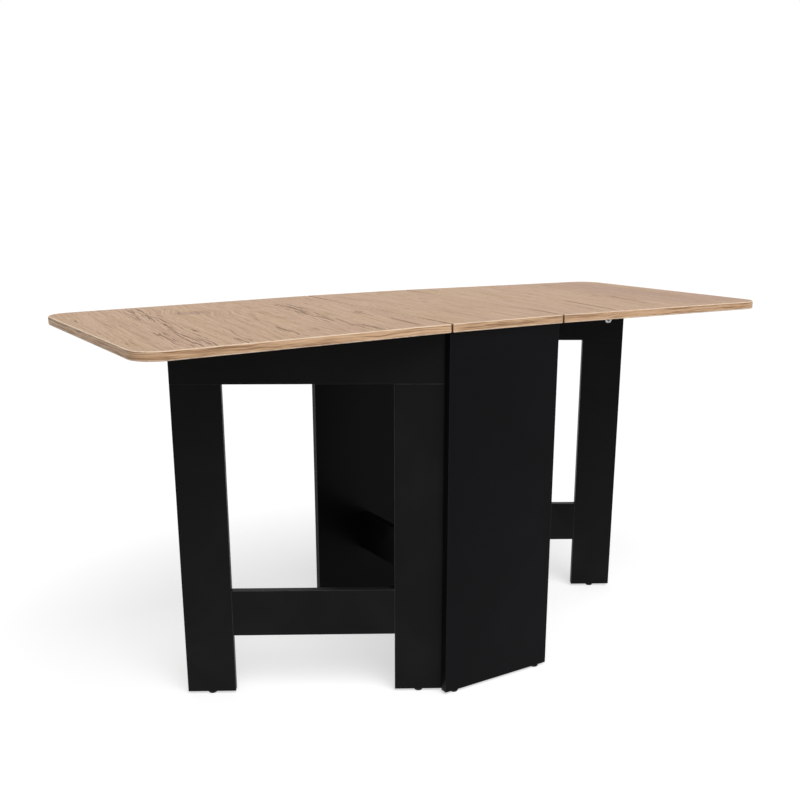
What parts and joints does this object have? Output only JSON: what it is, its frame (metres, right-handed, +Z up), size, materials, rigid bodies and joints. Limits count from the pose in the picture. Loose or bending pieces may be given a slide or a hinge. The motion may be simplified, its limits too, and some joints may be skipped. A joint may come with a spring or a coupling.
{
  "type": "drop-leaf folding kitchen table",
  "caption": "Drop-leaf kitchen table with a narrow oak-look centre board on black end panels and a hinged leaf each side, each held up by a black swing gate.",
  "frame": {"origin": "on the floor under the middle of the centre board", "axes": "+X along the open table from the left leaf to the right leaf, +Y from front to rear, +Z up"},
  "size_m": [1.4302, 0.58, 0.75],
  "materials": {
    "oak_laminate": "matt oak-print laminate with open grain",
    "oak_edge_band": "satin oak-print edge band, rounded over",
    "black_laminate": "satin black melamine on particle board",
    "plated_steel": "zinc-plated steel",
    "zinc_cam": "bright die-cast zinc",
    "beech_dowel": "plain beech",
    "black_plastic": "moulded black plastic"
  },
  "bodies": {
    "pedestal": {"centre_top": "oak_laminate", "centre_top_edge_band": "oak_edge_band", "centre_top_hinge_screws": "plated_steel", "end_panel_glides": "black_plastic", "end_panel_hinge_screws": "plated_steel", "front_end_panel": "black_laminate", "left_gate_hinge_panel_plates": "plated_steel", "left_gate_hinge_pins": "plated_steel", "left_leaf_hinge_centre_plates": "plated_steel", "left_leaf_hinge_pins": "plated_steel", "lower_stretcher": "black_laminate", "rear_end_panel": "black_laminate", "right_gate_hinge_panel_plates": "plated_steel", "right_gate_hinge_pins": "plated_steel", "right_leaf_hinge_centre_plates": "plated_steel", "right_leaf_hinge_pins": "plated_steel", "stretcher_cam_bolts": "plated_steel", "stretcher_cams": "zinc_cam", "stretcher_dowels": "beech_dowel", "top_cam_bolts": "plated_steel", "top_cams": "zinc_cam", "top_dowels": "beech_dowel", "upper_stretcher": "black_laminate"},
    "left_leaf": {"left_leaf": "oak_laminate", "left_leaf_edge_band": "oak_edge_band", "left_leaf_hinge_plates": "plated_steel", "left_leaf_screws": "plated_steel", "left_leaf_stop": "black_plastic"},
    "right_leaf": {"right_leaf": "oak_laminate", "right_leaf_edge_band": "oak_edge_band", "right_leaf_hinge_plates": "plated_steel", "right_leaf_screws": "plated_steel", "right_leaf_stop": "black_plastic"},
    "left_gate": {"left_gate_cam_bolts": "plated_steel", "left_gate_cams": "zinc_cam", "left_gate_dowels": "beech_dowel", "left_gate_glides": "black_plastic", "left_gate_hinge_plates": "plated_steel", "left_gate_hinge_screws": "plated_steel", "left_gate_inner_leg": "black_laminate", "left_gate_lower_rail": "black_laminate", "left_gate_outer_leg": "black_laminate", "left_gate_top_rail": "black_laminate"},
    "right_gate": {"right_gate_cam_bolts": "plated_steel", "right_gate_cams": "zinc_cam", "right_gate_dowels": "beech_dowel", "right_gate_glides": "black_plastic", "right_gate_hinge_plates": "plated_steel", "right_gate_hinge_screws": "plated_steel", "right_gate_inner_leg": "black_laminate", "right_gate_lower_rail": "black_laminate", "right_gate_outer_leg": "black_laminate", "right_gate_top_rail": "black_laminate"}
  },
  "joints": [
    {"name": "left_leaf_hinge", "type": "hinge", "parent": "pedestal", "child": "left_leaf", "pos_m": [-0.132, 0, 0.732], "axis": [0, 1, 0], "range_deg": [0, 13]},
    {"name": "right_leaf_hinge", "type": "hinge", "parent": "pedestal", "child": "right_leaf", "pos_m": [0.132, 0, 0.732], "axis": [0, -1, 0], "range_deg": [0, 13]},
    {"name": "left_gate_hinge", "type": "hinge", "parent": "pedestal", "child": "left_gate", "pos_m": [-0.1233, -0.2615, 0], "axis": [0, 0, 1], "range_deg": [-59.2, 0]},
    {"name": "right_gate_hinge", "type": "hinge", "parent": "pedestal", "child": "right_gate", "pos_m": [0.1233, 0.2615, 0], "axis": [0, 0, 1], "range_deg": [-59.2, 0]}
  ]
}
